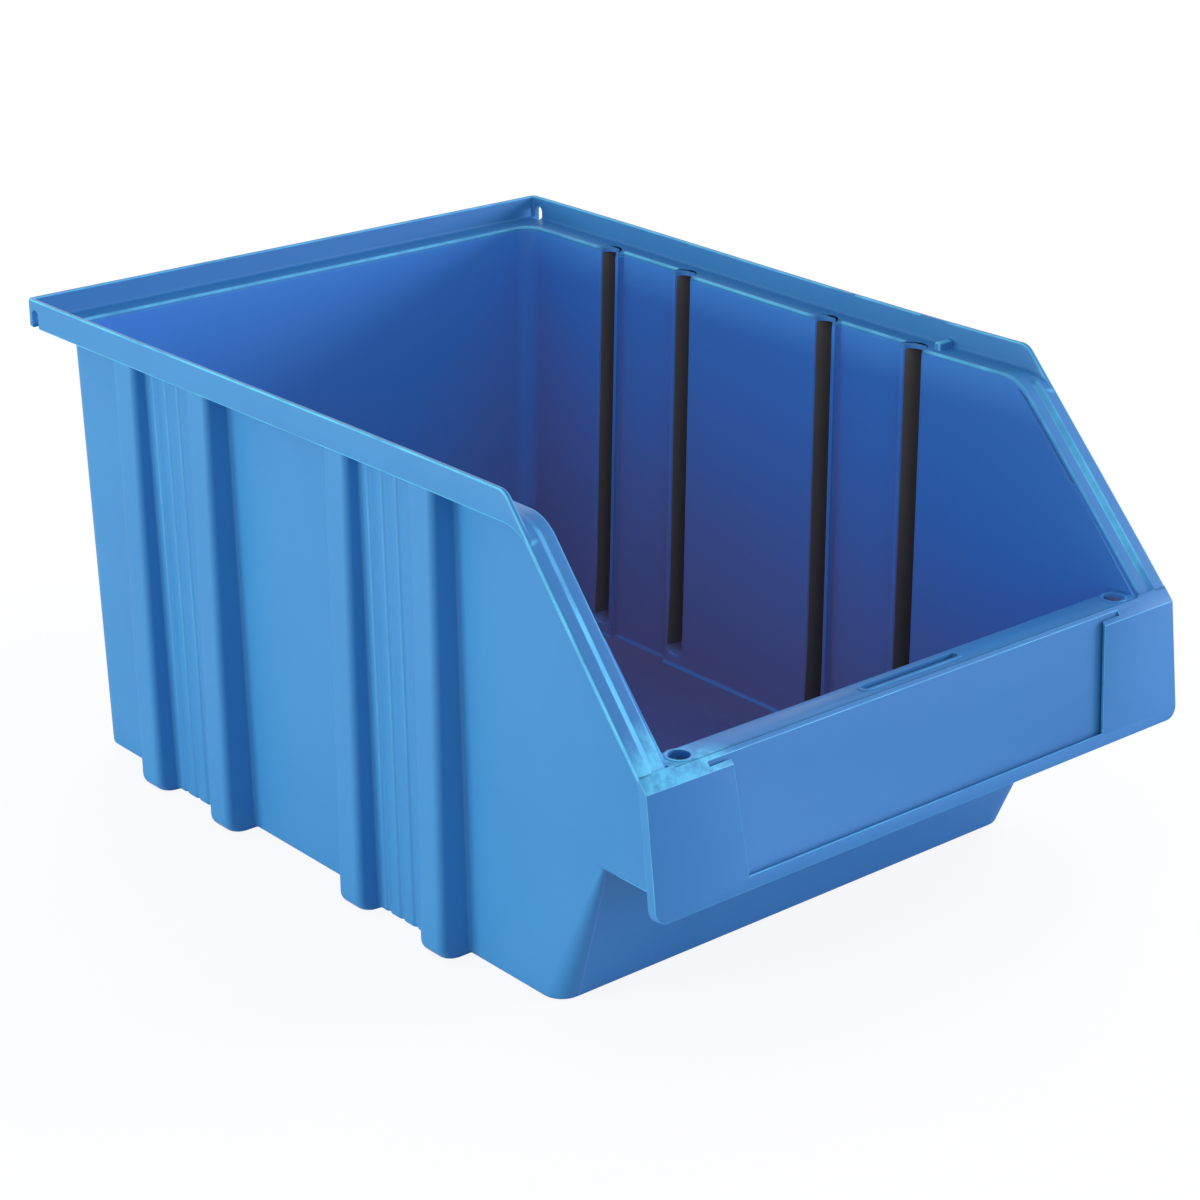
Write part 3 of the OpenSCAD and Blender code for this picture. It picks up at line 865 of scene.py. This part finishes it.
def back_rim():
    """The rim round both rear corners and across the back."""
    flat = rim_section((0.0, RIM_U), (0.0, 1.0), 0.0, (LEDGE_Z, LEDGE_Z, TOP_Z))
    inner_v = BACK_IN + BACK_DRAFT * LEDGE_Z
    inner_r = CORNER_R - WALL_T
    # Each point of the section has a distance out from the ledge's inner edge, at side and back.
    span_u, span_v = HALF_W - RIM_U, BACK_Y - inner_v
    rows = []
    for u, _, z in flat:
        d = u - RIM_U
        from_lip = HALF_W - u
        v = inner_v + d if u < STEP_U - 1 else BACK_Y - from_lip
        if STEP_U - 1 <= u <= STEP_U + 1:
            v = inner_v + span_v * d / span_u
        r = inner_r + d if u < STEP_U - 1 else max(1.5 - from_lip, 0.4)
        if STEP_U - 1 <= u <= STEP_U + 1:
            r = 6.0
        rows.append((u, v, z, r))
    rings = []

    def straight(side, y):
        return [(side * u, y, z) for u, _, z, _ in rows]

    def corner(side, angle):
        return [corner_point(side, u, v, z, r, angle) for u, v, z, r in rows]

    half = FOOT_OUT - CORNER_R + DRAFT * LEDGE_Z
    rings += [straight(-1, REAR_CUT), straight(-1, REAR_CUT + 3)]
    fine = [math.pi / 2 * i / 32 for i in range(33)]
    rings += [corner(-1, a) for a in fine]
    rings += [[(half * (-1 + 2 * i / 12), v, z) for u, v, z, r in rows] for i in range(1, 12)]
    rings += [corner(1, a) for a in reversed(fine)]
    rings += [straight(1, REAR_CUT + 3), straight(1, REAR_CUT)]
    rim = ring_solid("rim_back", rings)
    cutters = []
    for side in (-1, 1):
        outline = [(NOTCH_Y - NOTCH_HALF, UNDER_Z - 2), (NOTCH_Y + NOTCH_HALF, UNDER_Z - 2)]
        for i in range(9):
            a = math.pi * i / 8
            outline.append((NOTCH_Y + NOTCH_HALF * math.cos(a), NOTCH_CROWN + NOTCH_HALF * math.sin(a)))
        xs = (side * (LIP_U - 2.0), side * (HALF_W + 1))
        cutters.append(ring_solid("notch", [[(x, y, z) for y, z in outline] for x in xs]))
    combine(rim, cutters, "DIFFERENCE")
    finish_shading(rim.data, CREASE)
    return rim


def lug(name):
    """A small stop on the ledge, wider at its foot and rounded off at its top."""
    low, high = node_box("lug_" + name)
    size = [b - a for a, b in zip(low, high)]
    r = 0.7
    foot = [(low[2] - 0.3, 0.25), (low[2] + 0.2, 0.05)]
    top = [(high[2] - r, 0), (high[2] - 0.2, -0.22), (high[2], -r)]
    rings = []
    for z, grow in foot + top:
        ring = []
        for cx, cy, start in ((1, 1, 0), (-1, 1, 90), (-1, -1, 180), (1, -1, 270)):
            for i in range(5):
                a = math.radians(start + 22.5 * i)
                x = (low[0] + high[0]) / 2 + cx * (size[0] / 2 - r) + (r + grow) * math.cos(a)
                y = (low[1] + high[1]) / 2 + cy * (size[1] / 2 - r) + (r + grow) * math.sin(a)
                ring.append((x, y, z))
        rings.append(ring)
    return ring_solid("stacking_lug_" + name, rings, sharp=50.0)


# ---------------------------------------------------------------- front ledge
def prism(name, outline, z0, z1):
    return ring_solid(name, [[(x, y, z) for x, y in outline] for z in (z0, z1)], warp=False)


def circle(cx, cy, r, steps=40):
    angles = [2 * math.pi * i / steps for i in range(steps)]
    return [(cx + r * math.cos(a), cy + r * math.sin(a)) for a in angles]


def stadium(cy, reach, r, steps=12):
    points = []
    for s, start in ((1, -90), (-1, 90)):
        for i in range(steps + 1):
            a = math.radians(start + 180 * i / steps)
            points.append((s * reach + r * math.cos(a), cy + r * math.sin(a)))
    return points


def panel_back_y(z):
    """The back of the label panel at height z."""
    return FRONT_Y + PANEL_T + LEAN_K * (z - PANEL_Z0)


def front_ledge():
    """The shelf behind the label panel, with raised edges round its two holes and its slot."""
    half = FOOT_IN + DRAFT * SHELF_Z + 0.3
    z1, low_z = SHELF_Z, front_high[2]
    section = [(panel_back_y(z1) - 0.5, z1), (panel_back_y(z1) - 0.5, low_z), (SHELF_IN, low_z)]
    section += [(SHELF_IN - b, z1 - LEDGE_EDGE_R + a) for a, b in quarter(LEDGE_EDGE_R, 4)]
    rings = [[(x, y, z) for y, z in section] for x in (-half, half)]
    slab = ring_solid("front_ledge_top", rings, warp=False)
    raised = []
    for s in (-1, 1):
        raised.append(prism("ring", circle(s * HOLE_U, HOLE_Y, HOLE_R + 0.9), z1 - 0.5, z1 + 0.25))
    raised.append(prism("ring", stadium(HOLE_Y, SLOT_HALF - SLOT_R, SLOT_R + 1.0), z1 - 0.5, z1 + 0.35))
    combine(slab, raised, "UNION")
    cutters = [prism("hole", circle(s * HOLE_U, HOLE_Y, HOLE_R), low_z - 3, z1 + 3) for s in (-1, 1)]
    cutters.append(prism("slot", stadium(HOLE_Y, SLOT_HALF - SLOT_R, SLOT_R), low_z - 3, z1 + 3))
    combine(slab, cutters, "DIFFERENCE")
    return soften(slab, 0.18, 2, 40)


# ---------------------------------------------------------------- label panel
WINDOW_TOP, WINDOW_FOOT, WINDOW_Z = 74.5, 71.5, 4.0
RAIL_OVER, RAIL_FOOT, RAIL_T, POCKET_T = 7.5, 2.2, 0.9, 1.8
PANEL_R = 4.0


def on_panel(x, depth, up):
    """A point of the panel: across, into it and up its leaning face."""
    c, s = math.cos(LEAN_A), math.sin(LEAN_A)
    return (x, FRONT_Y + depth * c + up * s, PANEL_Z0 - depth * s + up * c)


def panel_prism(name, outline, d0, d1):
    return ring_solid(name, [[on_panel(x, d, w) for x, w in outline] for d in (d0, d1)], warp=False)


def window(grow, foot):
    """Outline of the label window, open at the top, "grow" wider at each side, from "foot" up."""
    face_h = (SHELF_Z - PANEL_Z0) / math.cos(LEAN_A)
    k = (WINDOW_TOP - WINDOW_FOOT) / (face_h - WINDOW_Z)
    top = 2 * face_h

    def half(w):
        return WINDOW_FOOT + grow + k * (w - WINDOW_Z)

    return [(-half(foot), foot), (half(foot), foot), (half(top), top), (-half(top), top)]


def label_panel():
    """The front plate: its ends cut to the slopes, its top cut down to the front ledge between
    them, and its window recessed, with a pocket behind its edges where a label's edges slide."""
    outline = []
    for s in (1, -1):
        arc = [(s * (HALF_W - PANEL_R + PANEL_R * math.sin(math.radians(a))),
                PANEL_R - PANEL_R * math.cos(math.radians(a))) for a in range(0, 91, 15)]
        up = [(s * HALF_W, 70.0)]
        outline += (arc + up) if s > 0 else (arc + up)[::-1]
    panel = panel_prism("label_panel_face", outline, 0.0, PANEL_T)
    far = 60.0
    slope = [(FRONT_Y - far, slope_z(FRONT_Y - far)), (FRONT_Y + far, slope_z(FRONT_Y + far)),
             (FRONT_Y + far, TOP_Z + far), (FRONT_Y - far, TOP_Z + far)]
    x = HALF_W + 5
    cutters = [ring_solid("slope", [[(a, y, z) for y, z in slope] for a in (-x, x)], warp=False)]
    flat = WINDOW_TOP + 18
    box = [(-flat, FRONT_Y - 9), (flat, FRONT_Y - 9), (flat, FRONT_Y + 30), (-flat, FRONT_Y + 30)]
    cutters.append(prism("top", box, SHELF_Z, TOP_Z))
    cutters.append(panel_prism("window", window(0, WINDOW_Z), -1, POCKET_T))
    cutters.append(panel_prism("pocket", window(RAIL_OVER, WINDOW_Z - RAIL_FOOT), RAIL_T, POCKET_T))
    combine(panel, cutters, "DIFFERENCE")
    return soften(panel, 0.45, 3, 25)


# ---------------------------------------------------------------- fillets inside
FILLET_R = 1.2


def bead(name, stations, r, steps=6):
    """A concave fillet along a corner line. A station is a point and the two faces' directions."""
    rings = []
    for point, da, db in stations:
        p, a, b = Vector(point), Vector(da), Vector(db)
        ring = [p - 0.3 * a - 0.3 * b, p + r * a - 0.3 * b]
        centre = p + r * a + r * b
        for i in range(steps + 1):
            t = math.pi / 2 * i / steps
            ring.append(centre - r * b * math.cos(t) - r * a * math.sin(t))
        ring.append(p + r * b - 0.3 * a)
        rings.append([tuple(q) for q in ring])
    return ring_solid(name, rings)


def fillets():
    """Small fillets round the floor. The panels between the ribs are set back, and so are theirs."""
    up, z = (0, 0, 1), FLOOR_Z
    ys = [CORNER_Y - 1] + [y + s * RIB_HALF for y, s in zip(RIB_YS, (-1, 1, -1, 1))]
    ys.append(front_edge_y(z) + FRONT_SKIN + 5)
    for name, side in SIDES.items():
        for i in range(5):
            u = FOOT_IN + DRAFT * z + (PAD_OUT if i % 2 else 0)
            stations = [((side * u, y, z), (-side, 0, 0), up) for y in (ys[i], ys[i + 1])]
            keep(bead("fillet_floor_%s_%d" % (name, i + 1), stations, FILLET_R))
    x = FOOT_IN - 6
    keep(bead("fillet_floor_back", [((t * x, BACK_IN + BACK_DRAFT * z, z), (0, -1, 0), up)
                                    for t in (-1, -0.5, 0, 0.5, 1)], FILLET_R))
    y = front_edge_y(z) + FRONT_SKIN
    keep(bead("fillet_floor_front", [((t * (FOOT_IN - 5), y, z), (0, 1, 0), up)
                                     for t in (-1, -0.5, 0, 0.5, 1)], FILLET_R))


# ---------------------------------------------------------------- the material
def plastic(name, bright, dull, pale, shades, rough_range):
    """Moulded polypropylene: faint cloudy colour, tight convex edges painted paler as a painted highlight
    together with wear, a painted highlight on upward faces at one front corner, painted shade in deeper and
    duller tones on inward faces where ambient occlusion finds little open space, a fine moulded grain and
    patches of handling sheen."""
    mat = bpy.data.materials.new(name)
    mat.use_nodes = True
    nodes, links = mat.node_tree.nodes, mat.node_tree.links
    shader = nodes["Principled BSDF"]
    coords = nodes.new("ShaderNodeTexCoord").outputs["Object"]

    def noise(scale, detail, rough=0.5):
        n = nodes.new("ShaderNodeTexNoise")
        n.inputs["Scale"].default_value = scale
        n.inputs["Detail"].default_value = detail
        n.inputs["Roughness"].default_value = rough
        links.new(coords, n.inputs["Vector"])
        return n.outputs["Fac"]

    def spread(value, from_min, from_max, to_min=0.0, to_max=1.0):
        m = nodes.new("ShaderNodeMapRange")
        m.inputs["From Min"].default_value = from_min
        m.inputs["From Max"].default_value = from_max
        m.inputs["To Min"].default_value = to_min
        m.inputs["To Max"].default_value = to_max
        links.new(value, m.inputs["Value"])
        return m.outputs["Result"]

    def times(a, b):
        m = nodes.new("ShaderNodeMath")
        m.operation = "MULTIPLY"
        links.new(a, m.inputs[0])
        links.new(b, m.inputs[1])
        return m.outputs["Value"]

    def mix(share, a, b):
        m = nodes.new("ShaderNodeMix")
        m.data_type = "RGBA"
        links.new(share, m.inputs["Factor"])
        for socket, colour in ((m.inputs[6], a), (m.inputs[7], b)):
            if isinstance(colour, tuple):
                socket.default_value = colour
            else:
                links.new(colour, socket)
        return m.outputs[2]

    colour = mix(spread(noise(13.0, 5.0, 0.55), 0.32, 0.68), bright, dull)
    wear_and_highlight = nodes.new("ShaderNodeAttribute")
    wear_and_highlight.attribute_name = "wear_and_highlight"
    # A painted highlight near one front corner, on faces turned upward.
    geometry = nodes.new("ShaderNodeNewGeometry")
    place = nodes.new("ShaderNodeVectorMath")
    place.operation = "DISTANCE"
    place.inputs[1].default_value = CORNER_HIGHLIGHT_AT
    links.new(coords, place.inputs[0])
    upward = nodes.new("ShaderNodeSeparateXYZ")
    links.new(geometry.outputs["Normal"], upward.inputs["Vector"])
    corner_highlight = times(spread(place.outputs["Value"], 0.020, 0.012), spread(upward.outputs["Z"], 0.25, 0.55))
    patchy = spread(noise(240.0, 4.0, 0.6), 0.36, 0.60, 0.35, 1.0)
    uneven = spread(noise(70.0, 4.0, 0.6), 0.30, 0.60, 0.35, 1.0)
    # Tight convex edges are painted paler: a painted highlight together with wear.
    colour = mix(times(wear_and_highlight.outputs["Fac"], uneven), colour, pale)
    colour = mix(times(corner_highlight, patchy), colour, pale)
    # Painted shade: on faces marked inside, the colour turns to deeper, duller shade colours where ambient
    # occlusion finds the point shut in.
    reach = nodes.new("ShaderNodeAmbientOcclusion")
    reach.samples = 8
    reach.inputs["Distance"].default_value = 0.25
    inside = nodes.new("ShaderNodeAttribute")
    inside.attribute_name = "inside"
    for colour_there, near, far in shades:
        share = times(spread(reach.outputs["AO"], near, far), inside.outputs["Fac"])
        colour = mix(share, colour, colour_there)
    links.new(colour, shader.inputs["Base Color"])

    handled = spread(noise(24.0, 6.0, 0.62), 0.35, 0.68, *rough_range)
    links.new(handled, shader.inputs["Roughness"])
    grain = nodes.new("ShaderNodeBump")
    grain.inputs["Strength"].default_value = 0.10
    grain.inputs["Distance"].default_value = 0.0002
    links.new(noise(1500.0, 3.0, 0.6), grain.inputs["Height"])
    waves = nodes.new("ShaderNodeBump")
    waves.inputs["Strength"].default_value = 0.05
    waves.inputs["Distance"].default_value = 0.002
    links.new(noise(26.0, 2.0), waves.inputs["Height"])
    links.new(grain.outputs["Normal"], waves.inputs["Normal"])
    links.new(waves.outputs["Normal"], shader.inputs["Normal"])
    shader.inputs["IOR"].default_value = 1.49
    shader.inputs["Specular IOR Level"].default_value = 0.36
    return mat


# ---------------------------------------------------------------- build
for label, sign in SIDES.items():
    side_walls(label, sign)
    keep(side_front(label, sign), "wall_%s_front" % label)
    keep(side_rim(label, sign), "flange_" + label, "lip_" + label)
    keep(lug(label), "lug_" + label)
keep(back_shell(), "back_wall", "corner_left", "corner_right")
keep(back_rim(), "back_flange", "back_lip")
keep(front_wall(), "front_wall")
keep(floor(), "floor_panel")
keep(front_ledge(), "front_ledge")
keep(label_panel(), "label_panel", "rail_left", "rail_right", "rail_foot")
fillets()

# Painted shade colours for the inside, a deeper blue and a dull purple where more shut in; a paler cyan for
# painted edge highlights with wear; a near-black painted shade for the grooves.
SHADE_PAINT_BLUE, SHADE_PAINT_DUSK = (0.074, 0.310, 0.770, 1), (0.310, 0.260, 0.410, 1)
HIGHLIGHT_AND_WEAR_PALE, GROOVE_SHADE_PAINT = (0.130, 0.680, 0.940, 1), (0.190, 0.175, 0.140, 1)
CORNER_HIGHLIGHT_AT = Vector((-91.0, -149.5, SHELF_Z - 0.5)) * MM
outside = plastic("blue_polypropylene", (0.045, 0.252, 0.545, 1), (0.040, 0.230, 0.515, 1), HIGHLIGHT_AND_WEAR_PALE,
                  ((SHADE_PAINT_BLUE, 0.95, 0.60), (SHADE_PAINT_DUSK, 0.36, 0.13)), (0.40, 0.52))
# The floor inside is painted darker and more purple as painted shade.
floor_painted_shade = plastic("blue_polypropylene_scuffed", (0.110, 0.150, 0.360, 1), (0.085, 0.120, 0.320, 1), HIGHLIGHT_AND_WEAR_PALE,
                  ((SHADE_PAINT_DUSK, 0.36, 0.20),), (0.50, 0.66))
# The grooves take a near-black painted shade in place of the shadow deep inside them.
deep = plastic("groove_painted_shade_black", GROOVE_SHADE_PAINT, (0.165, 0.152, 0.122, 1), GROOVE_SHADE_PAINT,
               (), (0.60, 0.75))
for piece in pieces:
    mark_surface(piece.data)
    if not piece.data.materials:
        piece.data.materials.append(outside)
    # The floor piece takes the painted shade material.
    piece.data.materials[0] = floor_painted_shade if piece.name.startswith("floor") else outside
    # The channel pieces' groove faces take the near-black painted shade.
    if "channel" in piece.name:
        piece.data.materials.append(deep)

# ---------------------------------------------------------------- camera, light and floor
camera = bpy.data.objects.new("camera", bpy.data.cameras.new("camera"))
camera.data.sensor_width = 36.0
camera.data.lens = 89.586
camera.location = (-0.5652, -0.67004, 0.41807)
camera.rotation_euler = (math.radians(90 - 21.657), 0, math.radians(-40.446))
bpy.context.scene.collection.objects.link(camera)
bpy.context.scene.camera = camera


def area_light(name, place, aim, size, watts, colour):
    """A soft rectangular light, turned from its place to what it aims at."""
    light = bpy.data.lights.new(name, "AREA")
    light.shape = "RECTANGLE"
    light.size, light.size_y = size
    light.energy = watts
    light.color = colour
    obj = bpy.data.objects.new(name, light)
    obj.location = place
    obj.rotation_euler = (Vector(aim) - Vector(place)).to_track_quat("-Z", "Y").to_euler()
    bpy.context.scene.collection.objects.link(obj)
    return obj


area_light("key", (-1.68, 0.35, 0.19), (0, 0, 0.08), (0.9, 0.28), 17, (1.02, 1.07, 0.92))
area_light("fill", (1.50, -0.95, 0.50), (0, 0, 0.06), (0.8, 0.5), 16, (0.90, 0.94, 1.22))
area_light("sheen", (0.90, 1.45, 0.80), (0, 0, 0.10), (1.4, 0.6), 5, (1.0, 1.0, 1.0))

world = bpy.data.worlds.new("studio")
world.use_nodes = True
background = world.node_tree.nodes["Background"]
background.inputs["Color"].default_value = (0.97, 0.94, 1.10, 1)
background.inputs["Strength"].default_value = 0.62
bpy.context.scene.world = world

floor_mesh = bpy.data.meshes.new("studio_floor")
reach = 6.0
floor_mesh.from_pydata([(-reach, -reach, 0), (reach, -reach, 0), (reach, reach, 0), (-reach, reach, 0)],
                       [], [(0, 1, 2, 3)])
studio_floor = bpy.data.objects.new("studio_floor", floor_mesh)
bpy.context.scene.collection.objects.link(studio_floor)
paper = bpy.data.materials.new("pale_paper")
paper.use_nodes = True
paper_nodes, paper_links = paper.node_tree.nodes, paper.node_tree.links
paper_nodes["Principled BSDF"].inputs["Base Color"].default_value = (0.80, 0.81, 0.82, 1)
paper_nodes["Principled BSDF"].inputs["Roughness"].default_value = 0.8
glow = paper_nodes.new("ShaderNodeEmission")
glow.inputs["Color"].default_value = (1.0, 1.0, 1.0, 1)
glow.inputs["Strength"].default_value = 1.09
seen = paper_nodes.new("ShaderNodeLightPath")
share = paper_nodes.new("ShaderNodeMath")
share.operation = "MULTIPLY"
share.inputs[1].default_value = 0.80
blend = paper_nodes.new("ShaderNodeMixShader")
paper_links.new(seen.outputs["Is Camera Ray"], share.inputs[0])
paper_links.new(share.outputs["Value"], blend.inputs["Fac"])
paper_links.new(paper_nodes["Principled BSDF"].outputs["BSDF"], blend.inputs[1])
paper_links.new(glow.outputs["Emission"], blend.inputs[2])
paper_links.new(blend.outputs["Shader"], paper_nodes["Material Output"].inputs["Surface"])
floor_mesh.materials.append(paper)

bpy.context.scene.view_settings.view_transform = "Standard"
